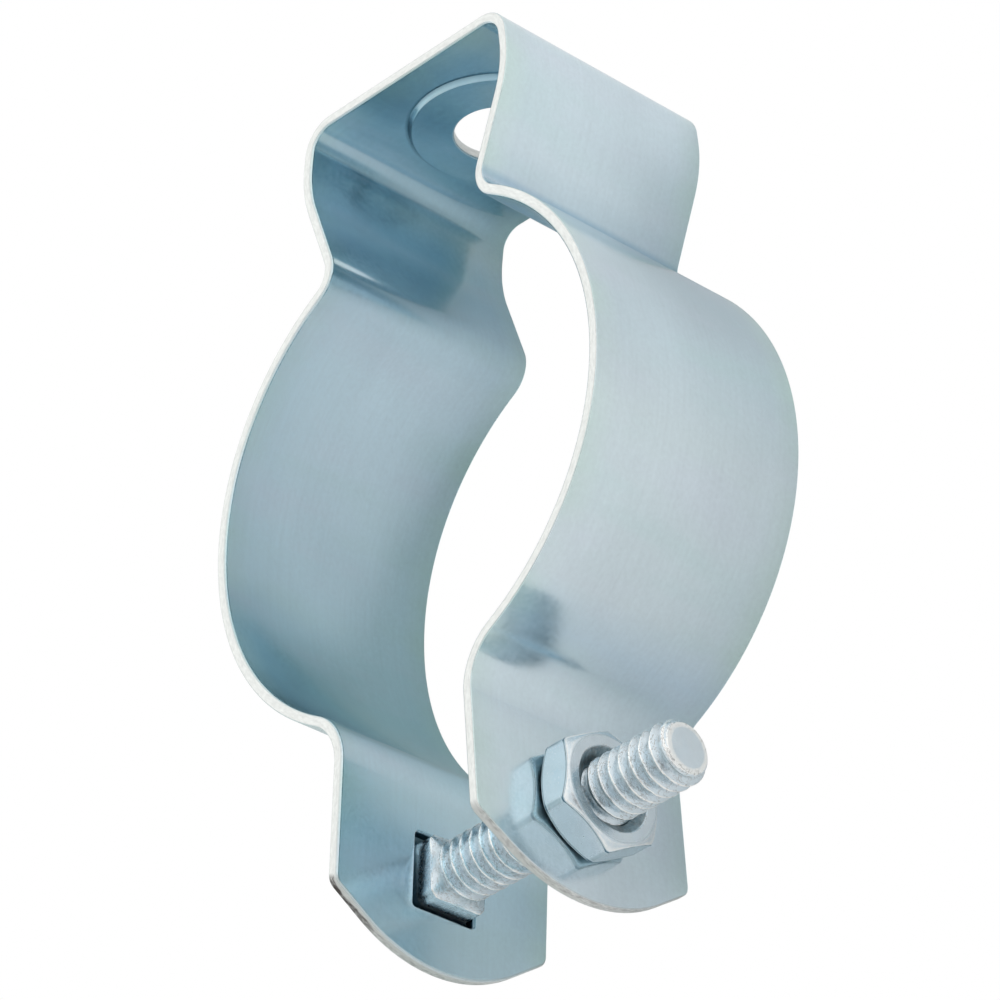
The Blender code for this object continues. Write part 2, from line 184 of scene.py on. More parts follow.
def leg_stations(opening):
    """The middle line of one leg on the +X side, as rows of length, x, z and heading below +X."""
    half = SHEET / 2
    down = math.pi / 2
    ring_end = down + RING_TUCK - opening
    runs = [
        (TOP_FLAT / 2, None, None, None),
        (None, CORNER_RADIUS + half, down - WALL_FLARE, BEND_STEP),
        (WALL_LENGTH, None, None, None),
        (None, WAIST_RADIUS + half, down + WAIST_LEAN, BEND_STEP),
        (WAIST_LENGTH, None, None, None),
        (None, NECK_RADIUS + half, RING_START, BEND_STEP),
        (NECK_LENGTH, None, None, None),
        (None, RING_RADIUS + half, ring_end, RING_STEP),
        (None, FOOT_RADIUS + half, down - EAR_FLARE - opening, BEND_STEP),
        (EAR_LENGTH - END_DEPTH, None, None, None),
        (END_DEPTH, None, None, None),
    ]
    s, x, z, heading = 0.0, 0.0, -half, 0.0
    stations = [(s, x, z, heading)]
    for length, radius, new_heading, step in runs:
        if radius is None:
            s += length
            x += length * math.cos(heading)
            z -= length * math.sin(heading)
            stations.append((s, x, z, heading))
            continue
        turn = new_heading - heading
        way = math.copysign(1, turn)
        centre_x = x - way * radius * math.sin(heading)
        centre_z = z - way * radius * math.cos(heading)
        count = max(2, math.ceil(abs(turn) / step))
        for i in range(1, count + 1):
            angle = heading + turn * i / count
            stations.append((s + radius * abs(turn) * i / count,
                             centre_x + way * radius * math.sin(angle),
                             centre_z + way * radius * math.cos(angle), angle))
        s, x, z, heading = stations[-1]
    return stations


def strap_stations():
    """Both legs as one row of length, x, z and outward direction, from rear ear to front ear."""
    rear = [(-s, -x, z, (-math.sin(h), math.cos(h))) for s, x, z, h in leg_stations(0)]
    front = [(s, x, z, (math.sin(h), math.cos(h)))
             for s, x, z, h in leg_stations(FRONT_OPENING)]
    return rear[:0:-1] + front[1:]


STATIONS = strap_stations()
LENGTHS = [row[0] for row in STATIONS]


def pressed(x, y):
    """How far the seat around the top hole is pressed down at a point, and its slope outward."""
    radius = math.hypot(x, y)
    if radius >= SEAT_RADIUS + SEAT_SHOULDER:
        return 0.0, 0.0
    if radius >= SEAT_RADIUS:
        t = (SEAT_RADIUS + SEAT_SHOULDER - radius) / SEAT_SHOULDER
        return SEAT_DEPTH * t * t * (3 - 2 * t), SEAT_DEPTH * 6 * t * (1 - t) / SEAT_SHOULDER
    reach = SEAT_RADIUS - TOP_HOLE_RADIUS
    t = (SEAT_RADIUS - radius) / reach
    return SEAT_DEPTH + SEAT_DISH * t ** 1.5, SEAT_DISH * 1.5 * math.sqrt(max(t, 0)) / reach


def folded(s, y, lift, side, tilt):
    """A point of the flat strip and its normal in space.

    lift is its height over the middle of the sheet. The normal leans by tilt from the sheet's
    outward direction (its inward one where lift is negative) towards side, a direction in the flat
    strip.
    """
    i = min(max(bisect_left(LENGTHS, s) - 1, 0), len(STATIONS) - 2)
    s0, x0, z0, out0 = STATIONS[i]
    s1, x1, z1, out1 = STATIONS[i + 1]
    t = (s - s0) / (s1 - s0)
    out = Vector((out0[0] + (out1[0] - out0[0]) * t, 0,
                  out0[1] + (out1[1] - out0[1]) * t)).normalized()
    along = Vector((out.z, 0, -out.x))
    place = Vector((x0 + (x1 - x0) * t, y, z0 + (z1 - z0) * t)) + out * lift
    face = out
    if abs(s) < TOP_FLAT / 2:
        drop, slope = pressed(s, y)
        place.z -= drop
        if slope:
            face = (out - Vector((s, y, 0)).normalized() * slope).normalized()
    if lift < 0:
        face = -face
    normal = face * math.cos(tilt) + (along * side[0] + Vector((0, side[1], 0))) * math.sin(tilt)
    return place, normal.normalized()


def inset(loop, distance):
    """A closed outline moved to its left by a distance, with each point's direction to its right."""
    moved = []
    for i, (x, y) in enumerate(loop):
        before, after = loop[i - 1], loop[(i + 1) % len(loop)]
        a = Vector((x - before[0], y - before[1])).normalized()
        b = Vector((after[0] - x, after[1] - y)).normalized()
        left_a, left_b = Vector((-a.y, a.x)), Vector((-b.y, b.x))
        side = (left_a + left_b) * (distance / (1 + left_a.dot(left_b)))
        right = -(left_a + left_b).normalized()
        moved.append(((x + side.x, y + side.y), (right.x, right.y)))
    return moved


def arc(x, y, radius, start, end, count):
    """Points along an arc, its ends included."""
    angles = [start + (end - start) * i / count for i in range(count + 1)]
    return [(x + radius * math.cos(a), y + radius * math.sin(a)) for a in angles]


def ear_end(corner, way):
    """The end of an ear, from one long edge of the strip to the other, in strip coordinates."""
    quarter = math.pi / 2
    turn = quarter - END_SLOPE
    start = -END_CORNER_RADIUS * math.tan(turn / 2)
    across = STRIP_WIDTH / 2 - END_CORNER_RADIUS
    outline = (arc(start, -across, END_CORNER_RADIUS, -quarter, -quarter + turn, CORNER_POINTS)
               + arc(END_DEPTH - END_RADIUS, 0, END_RADIUS, -END_SLOPE, END_SLOPE, ARC_POINTS)
               + arc(start, across, END_CORNER_RADIUS, quarter - turn, quarter, CORNER_POINTS))
    return [(corner + way * x, way * y) for x, y in outline]


def strip_outline():
    """The flat strip's outline, counter-clockwise, with a point on each long edge per station."""
    half = STRIP_WIDTH / 2
    lengths = LENGTHS[2:-2]
    near = [(s, -half) for s in lengths]
    far = [(s, half) for s in reversed(lengths)]
    return near + ear_end(LENGTHS[-2], 1) + far + ear_end(LENGTHS[1], -1)


def circle(x, y, radius):
    """A clockwise circle, so that its left side is the sheet around a hole."""
    angles = [-2 * math.pi * i / HOLE_POINTS for i in range(HOLE_POINTS)]
    return [(x + radius * math.cos(a), y + radius * math.sin(a)) for a in angles]


def square(x, y, width):
    """A clockwise square hole with rounded corners and points along its sides."""
    half = width / 2
    cut = SQUARE_HOLE_CORNER
    outline = []
    for quarter in range(4):
        turn = -math.pi / 2 * quarter
        for k in range(SQUARE_CORNER_STEPS + 1):
            angle = math.pi / 2 * (1 - k / SQUARE_CORNER_STEPS)
            u = half - cut + cut * math.cos(angle)
            v = half - cut + cut * math.sin(angle)
            outline.append((x + u * math.cos(turn) - v * math.sin(turn),
                            y + u * math.sin(turn) + v * math.cos(turn)))
    return outline


def hole_length(way):
    """The length along the strip at which an ear's hole lies."""
    end = LENGTHS[-1] if way > 0 else LENGTHS[0]
    return end - way * HOLE_FROM_END


def inside(point, loop):
    """Whether a point of the flat strip lies inside a closed outline."""
    x, y = point
    within = False
    for i, (x1, y1) in enumerate(loop):
        x0, y0 = loop[i - 1]
        if (y0 > y) != (y1 > y) and x < x0 + (x1 - x0) * (y - y0) / (y1 - y0):
            within = not within
    return within


def strip_triangles(outer, holes):
    """Points and triangles that fill the strip's face, and each outline's points among them."""
    points, edges, firsts = [], [], []
    loops = [outer] + holes
    radii = [SEAT_RADIUS + SEAT_SHOULDER * k / SEAT_RINGS for k in range(SEAT_RINGS + 1)]
    radii += [TOP_HOLE_RADIUS + (SEAT_RADIUS - TOP_HOLE_RADIUS) * k / DISH_RINGS
              for k in range(1, DISH_RINGS)]
    for loop in loops + [circle(0, 0, radius) for radius in radii]:
        first = len(points)
        firsts.append(first)
        points.extend(Vector(p) for p in loop)
        edges.extend((first + i, first + (i + 1) % len(loop)) for i in range(len(loop)))
    across = len(STATIONS) - 4
    for i in range(across):
        edges.append((i, 2 * across + EAR_POINTS - 1 - i))
    found = delaunay_2d_cdt(points, edges, [], 1, SAME_POINT)
    places = [tuple(p) for p in found[0]]
    number = {old: new for new, olds in enumerate(found[3]) for old in olds}
    outlines = [[number[first + i] for i in range(len(loop))] for first, loop in zip(firsts, loops)]
    kept = []
    for face in found[2]:
        middle = (sum(places[k][0] for k in face) / 3, sum(places[k][1] for k in face) / 3)
        if inside(middle, outer) and not any(inside(middle, hole) for hole in holes):
            kept.append(tuple(face))
    return places, kept, outlines


def make_strap():
    """The folded strip with exact normals, and how much each point belongs to a cut edge."""
    rear_hole, front_hole = (hole_length(way) for way in (-1, 1))
    loops = [strip_outline(), circle(0, 0, TOP_HOLE_RADIUS),
             square(rear_hole, 0, NECK_WIDTH + SQUARE_HOLE_PLAY),
             circle(front_hole, 0, THREAD_RADIUS + ROUND_HOLE_PLAY / 2)]
    half = SHEET / 2
    verts, normals, faces = [], [], []
    strip, cut, inner = [], [], []

    def add(s, y, lift, side=(0, 0), tilt=0.0, edge=0.0):
        place, normal = folded(s, y, lift, side, tilt)
        verts.append(place)
        normals.append(normal)
        strip.append((s, y, lift))
        cut.append(edge)
        inner.append(0.0 if lift > 0 else 1.0)
        return len(verts) - 1

    rims = {}
    for way, rounding in ((1, OUTER_EDGE_ROUND), (-1, INNER_EDGE_ROUND)):
        face_loops = [[p for p, _ in inset(loop, rounding)] for loop in loops]
        places, triangles, outlines = strip_triangles(face_loops[0], face_loops[1:])
        numbers = [add(s, y, way * half) for s, y in places]
        for face in triangles:
            corners = [numbers[k] for k in face]
            faces.append(corners if way > 0 else corners[::-1])
        rims[way] = [[numbers[k] for k in outline] for outline in outlines]
    for k, loop in enumerate(loops):
        rings = [rims[1][k]]
        for way, rounding in ((1, OUTER_EDGE_ROUND), (-1, INNER_EDGE_ROUND)):
            steps = range(1, EDGE_STEPS + 1) if way > 0 else range(EDGE_STEPS, 0, -1)
            for step in steps:
                tilt = math.pi / 2 * step / EDGE_STEPS
                distance = rounding * (1 - math.sin(tilt))
                lift = way * (half - rounding * (1 - math.cos(tilt)))
                edge = step / EDGE_STEPS
                rings.append([add(s, y, lift, side, tilt, edge)
                              for (s, y), side in inset(loop, distance)])
        rings.append(rims[-1][k])
        for upper, lower in zip(rings, rings[1:]):
            for i in range(len(loop)):
                j = (i + 1) % len(loop)
                faces.append((upper[i], lower[i], lower[j], upper[j]))

    mesh = bpy.data.meshes.new("strap")
    mesh.from_pydata(verts, [], faces)
    mesh.shade_smooth()
    mesh.normals_split_custom_set_from_vertices(normals)
    mesh.attributes.new("strip", "FLOAT_VECTOR", "POINT").data.foreach_set(
        "vector", [c for p in strip for c in p])
    mesh.attributes.new("cut", "FLOAT", "POINT").data.foreach_set("value", cut)
    mesh.attributes.new("inner", "FLOAT", "POINT").data.foreach_set("value", inner)
    piece = bpy.data.objects.new("strap", mesh)
    bpy.context.collection.objects.link(piece)
    return piece


def hole_centre(way):
    """The middle of an ear's hole, and the ear's outward direction there."""
    place, _ = folded(hole_length(way), 0, 0, (0, 0), 0)
    out = STATIONS[-1][3] if way > 0 else STATIONS[0][3]
    return place, Vector((out[0], 0, out[1]))


# Bolt and nut

def bolt_lengths():
    """The middle of the head's underside, the bolt's direction, and how far on nut and tip lie."""
    rear, rear_out = hole_centre(-1)
    front, front_out = hole_centre(1)
    rear += Vector((0, SIDE_IN_SQUARE, 0))
    front += Vector((0, SIDE_IN_ROUND, UP_IN_ROUND))
    axis = (front - rear).normalized()
    grip = (front - rear).length
    lean_rear = math.acos(min(1, -axis.dot(rear_out)))
    lean_front = math.acos(min(1, axis.dot(front_out)))
    under_head = SHEET / 2 + HEAD_RADIUS * math.tan(lean_rear) + SEATING_GAP
    nut_back = under_head + grip + SHEET / 2 + NUT_FACE_RADIUS * math.tan(lean_front) + SEATING_GAP
    tip = nut_back + NUT_THICKNESS + TIP_BEYOND_NUT
    return rear - axis * under_head, axis, nut_back, tip


def soft_clamp(value, softness):
    """0 below 0, 1 above 1, with rounded turns."""
    def soft_positive(v):
        return (v + math.sqrt(v * v + softness * softness)) / 2
    return soft_positive(value) - soft_positive(value - 1)


def thread_height(x, angle):
    """The thread's height above its root, from 0 to 1, at a place along the bolt and around it."""
    root = THREAD_PITCH - THREAD_CREST - 2 * THREAD_FLANK
    middle = root + THREAD_FLANK + THREAD_CREST / 2
    u = (x - THREAD_START - THREAD_PITCH * angle / (2 * math.pi) - middle) % THREAD_PITCH
    distance = min(u, THREAD_PITCH - u)
    return soft_clamp((THREAD_CREST / 2 + THREAD_FLANK - distance) / THREAD_FLANK, THREAD_SOFTNESS)


def new_mesh():
    """An empty mesh whose points note their wear with painted shading, and how scratched they are.

    The mark is below 0 where shade is painted, in grooves, holes and where parts meet, and above 0
    on edges that are bright, partly rubbed and partly a painted highlight.
    """
    bm = bmesh.new()
    for name in ("wear_and_shading", "scratched"):
        bm.verts.layers.float.new(name)
    return bm


def marked(bm, vert, wear_and_shading, scratched=0.0):
    """The same point with its wear and painted shading and its scratches noted."""
    vert[bm.verts.layers.float["wear_and_shading"]] = wear_and_shading
    vert[bm.verts.layers.float["scratched"]] = scratched
    return vert


def spiral_grid(bm, start, end, angles, surface_at):
    """Rows of points along a spiral around the X axis between two flat ends. Returns the end rings.

    surface_at(x, angle) gives a point's radius and its wear with painted shading.
    """
    step = THREAD_PITCH / ROWS_PER_PITCH
    count = math.ceil((end - start) / step) + ROWS_PER_PITCH + 1
    columns = []
    for angle in angles:
        column = []
        last = None
        for j in range(count):
            x = start - THREAD_PITCH + step * j + THREAD_PITCH * (angle - angles[0]) / (2 * math.pi)
            x = min(max(x, start), end)
            if last is not None and abs(x - last) < SAME_ROW:
                column.append(column[-1])
                continue
            radius, wear_and_shading = surface_at(x, angle)
            vert = bm.verts.new((x, radius * math.cos(angle), radius * math.sin(angle)))
            column.append(marked(bm, vert, wear_and_shading, 1.0))
            last = x
        columns.append(column)
    for i, here in enumerate(columns):
        there = columns[(i + 1) % len(columns)]
        shift = ROWS_PER_PITCH if here is columns[-1] else 0
        for j in range(-shift, count - 1):
            a, b = here[max(j, 0)], here[max(j + 1, 0)]
            c, d = there[min(j + 1 + shift, count - 1)], there[min(j + shift, count - 1)]
            corners = []
            for vert in (a, d, c, b):
                if vert not in corners:
                    corners.append(vert)
            if len(corners) > 2:
                bm.faces.new(corners)
    return [column[0] for column in columns], [column[-1] for column in columns]


def ring(bm, x, radius, angles=ROUND_ANGLES, wear_and_shading=0.0, scratched=0.0):
    """A ring of points around the X axis. x, radius and the wear and shading may be functions of the
    angle.
    """
    verts = []
    for angle in angles:
        here, out, mark = (v(angle) if callable(v) else v for v in (x, radius, wear_and_shading))
        vert = bm.verts.new((here, out * math.cos(angle), out * math.sin(angle)))
        verts.append(marked(bm, vert, mark, scratched))
    return verts


def join_rings(bm, first, second):
    """Faces between two rings of as many points each."""
    for i in range(len(first)):
        j = (i + 1) % len(first)
        bm.faces.new((first[i], first[j], second[j], second[i]))


def polygon_radius(sides, width, turn=0.0):
    """A regular polygon's radius at any angle, from its width over flats and a corner's angle."""
    part = 2 * math.pi / sides

    def radius(angle):
        return width / 2 / math.cos((angle - turn) % part - part / 2)
    return radius


def finished(name, bm, place, sharp):
    """A smooth object from a mesh around the X axis, put on the bolt's axis.

    Edges that turn by more than the angle sharp stay sharp.
    """
    bmesh.ops.recalc_face_normals(bm, faces=bm.faces)
    mesh = bpy.data.meshes.new(name)
    bm.to_mesh(mesh)
    bm.free()
    mesh.transform(place)
    mesh.shade_smooth()
    mesh.set_sharp_from_angle(angle=sharp)
    piece = bpy.data.objects.new(name, mesh)
    bpy.context.collection.objects.link(piece)
    return piece


def worn(x, angle):
    """The unevenness of the rolled thread at a place, the same in every run."""
    x = x / MM
    slow = math.sin(5 * angle + 0.9 * x) * math.sin(3 * angle - 2.3 * x + 1.3)
    quick = math.sin(11 * angle + 4.1 * x) * math.sin(17 * angle - 5.7 * x + 0.4)
    # Only the highest of these waves make nicks.
    nick = math.sin(23 * angle + 7.9 * x) * math.sin(7 * angle - 3.3 * x + 2.0)
    nick = max(0.0, nick - 0.75) * 4
    return MM * (THREAD_WAVE * slow + THREAD_WAVE * quick - THREAD_NICK * nick)


def make_bolt(place, tip):
    """The carriage bolt, from the top of its head to its tip."""
    bm = new_mesh()
    top = marked(bm, bm.verts.new((-HEAD_HEIGHT, 0, 0)), 0.0)
    dome_height = HEAD_HEIGHT - HEAD_RIM
    dome_radius = (HEAD_RADIUS ** 2 + dome_height ** 2) / (2 * dome_height)
    dome_angle = math.asin(HEAD_RADIUS / dome_radius)
    rings = []
    for i in range(1, DOME_RINGS + 1):
        angle = dome_angle * i / DOME_RINGS * DOME_SHARE
        x = dome_radius * (1 - math.cos(angle)) - HEAD_HEIGHT
        rings.append(ring(bm, x, dome_radius * math.sin(angle)))
    for x, short in ((-HEAD_RIM * 0.93, 0.02), (-HEAD_RIM * 0.7, 0.0), (-HEAD_RIM * 0.2, 0.0),
                     (-0.03 * MM, 0.05), (0, 0.15)):
        rings.append(ring(bm, x, HEAD_RADIUS - short * MM))
    for i in range(AROUND):
        bm.faces.new((top, rings[0][i], rings[0][(i + 1) % AROUND]))

    flats = polygon_radius(4, NECK_WIDTH + NECK_WIDENING, math.pi / 4)
    root = THREAD_RADIUS - THREAD_DEPTH
    crest = THREAD_RADIUS - THREAD_START_DROP

    def neck(share):
        """The neck's outline, drawn in to a circle at its chamfered end."""
        return lambda a: min(flats(a), NECK_CORNER_RADIUS) * (1 - share) + crest * share

    # The head's underside and the neck, which is painted dark with shade inside the square hole
    for x, radius, wear_and_shading, scratched in (
            (0, HEAD_RADIUS - 1.2 * MM, -0.2, 0.0),
            (0, lambda a: neck(0)(a) + 0.15 * MM, -1.7, 0.0),
            (0.12 * MM, neck(0), -1.7, 0.0),
            (SHEET, neck(0), -1.3, 0.0),
            (SHEET + 0.35 * MM, neck(0), -0.2, 1.0)):
        rings.append(ring(bm, x, radius, wear_and_shading=wear_and_shading, scratched=scratched))
    # The neck's chamfer, with a bright edge at its start
    for share, wear_and_shading in ((-0.18, -0.1), (0.0, 0.8), (0.14, 0.45), (0.4, -0.25), (0.75, -0.5),
                        (1.0, -0.7)):
        x = NECK_DEPTH - NECK_CHAMFER + NECK_CHAMFER * share
        rings.append(ring(bm, x, neck(max(share, 0) ** 1.2), wear_and_shading=wear_and_shading, scratched=1.0))
    for first, second in zip(rings, rings[1:]):
        join_rings(bm, first, second)

    def surface_at(x, angle):
        height = thread_height(x, angle)
        radius = root + THREAD_DEPTH * height
        from_tip = tip - x
        radius = max(radius, crest - max(0.0, x - NECK_DEPTH) * FIRST_GROOVE_SLOPE)
        radius = max(radius, TIP_FILL_RADIUS - from_tip * NUT_MOUTH_SLOPE)
        radius += worn(x, angle) * min(1, from_tip / MM, (x - NECK_DEPTH) / MM)
        # The crests are bright, partly worn and partly a painted highlight, and painted shade
        # darkens the flanks towards the root.
        wear_and_shading = 0.9 if height > 0.9 else 0.2 - 0.9 * (1 - height) ** 2
        # The tip's bevel is painted lighter, a painted highlight, brightest at its end.
        if from_tip < TIP_HIGHLIGHT_LENGTH:
            wear_and_shading = 1.0 if from_tip < TIP_BRIGHT else max(wear_and_shading, 0.3)
        bevel = min(TIP_FLAT_RADIUS + TIP_EDGE_SLOPE * from_tip,
                    TIP_BEVEL_RADIUS + TIP_BEVEL_SLOPE * from_tip)
        return max(min(radius, bevel), root), wear_and_shading

    first, last = spiral_grid(bm, NECK_DEPTH, tip - TIP_EDGE, ROUND_ANGLES, surface_at)
    join_rings(bm, rings[-1], first)
    edge = ring(bm, tip, TIP_FLAT_RADIUS, wear_and_shading=0.6)
    flat = ring(bm, tip, TIP_FLAT_RADIUS - 0.15 * MM)
    join_rings(bm, last, edge)
    join_rings(bm, edge, flat)
    bm.faces.new(flat)
    bmesh.ops.remove_doubles(bm, verts=bm.verts, dist=SAME_POINT)
    return finished("bolt", bm, place, BOLT_SHARP)


def make_nut(place, nut_back):
    """The hex nut, whose thread is the bolt's own spiral at the nut's place."""
    bm = new_mesh()
    hexagon = polygon_radius(6, NUT_WIDTH, NUT_TURN)
    corner = NUT_WIDTH / 2 / math.cos(math.pi / 6) - NUT_CORNER_CUT
    blunt = math.pi / 6 - math.acos(NUT_WIDTH / 2 / corner)
    sixth = math.pi / 3
    offsets = [sixth * i / 12 for i in range(1, 12)]
    offsets += [0, blunt / 2, blunt, 2 * blunt, sixth - 2 * blunt, sixth - blunt, sixth - blunt / 2]
    angles = [NUT_TURN + sixth * k + offset for k in range(6) for offset in sorted(offsets)]

    def side(angle):
        return min(hexagon(angle), corner)

    def at_corner(angle):
        """1 on a corner of the hexagon, 0 a little way from it."""
        away = (angle - NUT_TURN + sixth / 2) % sixth - sixth / 2
        return max(0.0, 1 - max(0.0, abs(away) - blunt) / (1.6 * blunt))

    def flat(radius, wear_and_shading=0.0):
        """A row on the flat face. Each row is a depth, a radius and a wear at any angle."""
        return lambda a: 0.0, lambda a: radius, lambda a: wear_and_shading

    def chamfered(share, below=0.0, out=0.0, wear_and_shading=0.0):
        """A row on the chamfer, at a share of the way from the flat face's rim to the side."""
        def reach(angle):
            return NUT_FACE_RADIUS + (side(angle) - NUT_FACE_RADIUS) * share

        # On the sides below the edge, the corners are painted darker as shade.
        return (lambda a: (reach(a) - NUT_FACE_RADIUS) * NUT_CHAMFER_SLOPE + below,
                lambda a: reach(a) - out, lambda a: wear_and_shading - 0.7 * at_corner(a) * (below > 0))

    round_ = NUT_EDGE_ROUND
    face_rows = 6
    # From the mouth out over the face and chamfer to the sides. The chamfer is lighter, its rounded
    # edge has a painted highlight, and a band just below it on the sides is painted shade.
    rows = [
        flat(NUT_MOUTH_RADIUS + 0.12 * MM, wear_and_shading=0.4),
        flat(NUT_MOUTH_RADIUS + 0.3 * MM),
        flat(NUT_FACE_RADIUS - 0.25 * MM),
        flat(NUT_FACE_RADIUS - 0.05 * MM, wear_and_shading=-0.55),
        chamfered(0.15, wear_and_shading=0.55),
        chamfered(0.5, wear_and_shading=0.35),
        chamfered(1.0, out=round_, wear_and_shading=0.75),
        chamfered(1.0, below=round_ * 0.1, out=round_ * 0.3, wear_and_shading=0.5),
        chamfered(1.0, below=round_ * 1.0, wear_and_shading=-1.1),
        chamfered(1.0, below=round_ * 1.7, wear_and_shading=-1.1),
        chamfered(1.0, below=round_ * 2.8, wear_and_shading=0.3),
        chamfered(1.0, below=round_ * 4.5),
    ]
    back = [ring(bm, x, radius, angles, NUT_BACK_SHADE if k < face_rows else wear_and_shading)
            for k, (x, radius, wear_and_shading) in enumerate(rows)]
    front = [ring(bm, (lambda a, x=x: NUT_THICKNESS - x(a)), radius, angles, wear_and_shading)
             for x, radius, wear_and_shading in reversed(rows)]
    rings = back + front
    for first, second in zip(rings, rings[1:]):
        join_rings(bm, first, second)

    root = THREAD_RADIUS - THREAD_DEPTH + NUT_CLEARANCE

    def surface_at(x, angle):
        height = thread_height(nut_back + x, angle)
        radius = root + THREAD_DEPTH * height
        depth = min(x, NUT_THICKNESS - x)
        mouth = NUT_MOUTH_RADIUS - depth * NUT_MOUTH_SLOPE
        if mouth > radius:
            at_rim = max(0.0, 1 - depth / NUT_RIM)
            return mouth, NUT_MOUTH_SHADE + (NUT_RIM_LIGHTER - NUT_MOUTH_SHADE) * at_rim
        return radius, NUT_THREAD_SHADE

    first, last = spiral_grid(bm, 0.0, NUT_THICKNESS, angles, surface_at)
    join_rings(bm, rings[0], first)
    join_rings(bm, rings[-1], last)
    bmesh.ops.remove_doubles(bm, verts=bm.verts, dist=SAME_POINT)
    return finished("nut", bm, place @ Matrix.Translation((nut_back, 0, 0)), NUT_SHARP)


# Materials

class Nodes:
    """Short calls for building one material's nodes."""

    def __init__(self, name):
        self.material = bpy.data.materials.new(name)
        self.material.use_nodes = True
        self.tree = self.material.node_tree
        self.shader = self.tree.nodes["Principled BSDF"]

    def new(self, kind, **settings):
        """A new node with its settings."""
        node = self.tree.nodes.new(kind)
        for key, value in settings.items():
            setattr(node, key, value)
        return node

    def feed(self, node, **inputs):
        """Give a node's inputs, by name, a value or a link."""
        for key, value in inputs.items():
            socket = node.inputs[key.replace("_", " ")]
            if isinstance(value, bpy.types.NodeSocket):
                self.tree.links.new(value, socket)
            else:
                socket.default_value = value
        return node

    def attribute(self, name, output):
        return self.new("ShaderNodeAttribute", attribute_name=name).outputs[output]

    def noise(self, place, scale, detail=2.0, roughness=0.5):
        node = self.new("ShaderNodeTexNoise")
        self.feed(node, Vector=place, Scale=scale, Detail=detail, Roughness=roughness)
        return node.outputs["Fac"]

    def math(self, operation, a, b=None):
        node = self.new("ShaderNodeMath", operation=operation)
        for k, value in enumerate((a, b)):
            if isinstance(value, bpy.types.NodeSocket):
                self.tree.links.new(value, node.inputs[k])
            elif value is not None:
                node.inputs[k].default_value = value
        return node.outputs[0]

    def spread(self, value, low, high, to_low=0.0, to_high=1.0):
        """A value carried over from one range to another, and kept within it."""
        node = self.new("ShaderNodeMapRange")
        self.feed(node, Value=value, From_Min=low, From_Max=high, To_Min=to_low, To_Max=to_high)
        return node.outputs[0]

    def mix(self, share, a, b):
        """Mix two colours by a share."""
        node = self.new("ShaderNodeMix", data_type="RGBA")
        for socket, value in ((node.inputs[0], share), (node.inputs[6], a), (node.inputs[7], b)):
            if isinstance(value, bpy.types.NodeSocket):
                self.tree.links.new(value, socket)
            elif isinstance(value, tuple):
                socket.default_value = (*value, 1)
            else:
                socket.default_value = value
        return node.outputs[2]

    def parts(self, vector):
        node = self.new("ShaderNodeSeparateXYZ")
        self.tree.links.new(vector, node.inputs[0])
        return node.outputs[0], node.outputs[1], node.outputs[2]

    def all_of(self, *shares):
        """The product of several shares."""
        product = shares[0]
        for share in shares[1:]:
            product = self.math("MULTIPLY", product, share)
        return product

    def ramp(self, value, stops):
        """A colour that changes smoothly between (value, colour) stops."""
        low, high = stops[0][0], stops[-1][0]
        node = self.new("ShaderNodeValToRGB")
        self.feed(node, Fac=self.spread(value, low, high))
        elements = node.color_ramp.elements
        while len(elements) < len(stops):
            elements.new(0.5)
        for element, (at, colour) in zip(elements, stops):
            element.position = (at - low) / (high - low)
            element.color = (*colour, 1)
        return node.outputs[0]

    def times(self, colour, value):
        """A colour multiplied by a single value."""
        node = self.new("ShaderNodeVectorMath", operation="SCALE")
        self.feed(node, Scale=value)
        self.tree.links.new(colour, node.inputs[0])
        return node.outputs[0]

    def scaled(self, vector, scale):
        node = self.new("ShaderNodeVectorMath", operation="MULTIPLY")
        self.tree.links.new(vector, node.inputs[0])
        node.inputs[1].default_value = scale
        return node.outputs[0]

    def bump(self, height, strength, distance, normal=None):
        node = self.new("ShaderNodeBump")
        self.feed(node, Height=height, Strength=strength, Distance=distance)
        if normal is not None:
            self.tree.links.new(normal, node.inputs["Normal"])
        return node.outputs[0]


ZINC = (0.685, 0.805, 0.865)
# The inner side's colour at distances along the strip from the middle of the top. Besides a bluer
# plating, these stops paint shade and reflections: dark under the top, then lighter and darker
# bands from the corner bend down to the ear.
INNER_ZINC_LIGHT_AND_SHADE = (
    (7.5 * MM, (0.39, 0.60, 0.71)),
    (9.5 * MM, (0.31, 0.52, 0.64)),
    (12 * MM, (0.50, 0.70, 0.80)),
    (13.5 * MM, (0.64, 0.84, 0.93)),
    (16.5 * MM, (0.80, 0.94, 0.99)),
    (20 * MM, (0.64, 0.84, 0.93)),
    (25 * MM, (0.56, 0.76, 0.87)),
    (35 * MM, (0.73, 0.88, 0.96)),
    (48 * MM, (0.70, 0.85, 0.93)),
    (62 * MM, (0.62, 0.80, 0.88)),
    (76 * MM, (0.45, 0.69, 0.76)),
    (91 * MM, (0.39, 0.63, 0.72)),
    (96 * MM, (0.78, 0.93, 0.99)),
    (102 * MM, (0.60, 0.78, 0.87)),
    (108 * MM, (0.66, 0.84, 0.91)),
)
# The outer side's colour in the same way. Painted shade and reflections make it dark from the sharp
# bend at the neck well onto the ring, a little bluer low on the ring, and lighter on the ear.
OUTER_ZINC_LIGHT_AND_SHADE = (
    (26 * MM, ZINC),
    (29.1 * MM, (0.61, 0.74, 0.81)),
    (30.0 * MM, (0.34, 0.52, 0.65)),
    (32.6 * MM, (0.41, 0.57, 0.67)),
    (41 * MM, (0.45, 0.60, 0.69)),
    (45 * MM, (0.56, 0.70, 0.77)),
    (50 * MM, (0.59, 0.71, 0.77)),
    (58 * MM, (0.65, 0.77, 0.83)),
    (66 * MM, (0.71, 0.82, 0.86)),
    (82 * MM, (0.71, 0.82, 0.87)),
    (86.5 * MM, (0.66, 0.81, 0.91)),
    (91 * MM, (0.70, 0.82, 0.88)),
    (97 * MM, (0.75, 0.87, 0.92)),
)
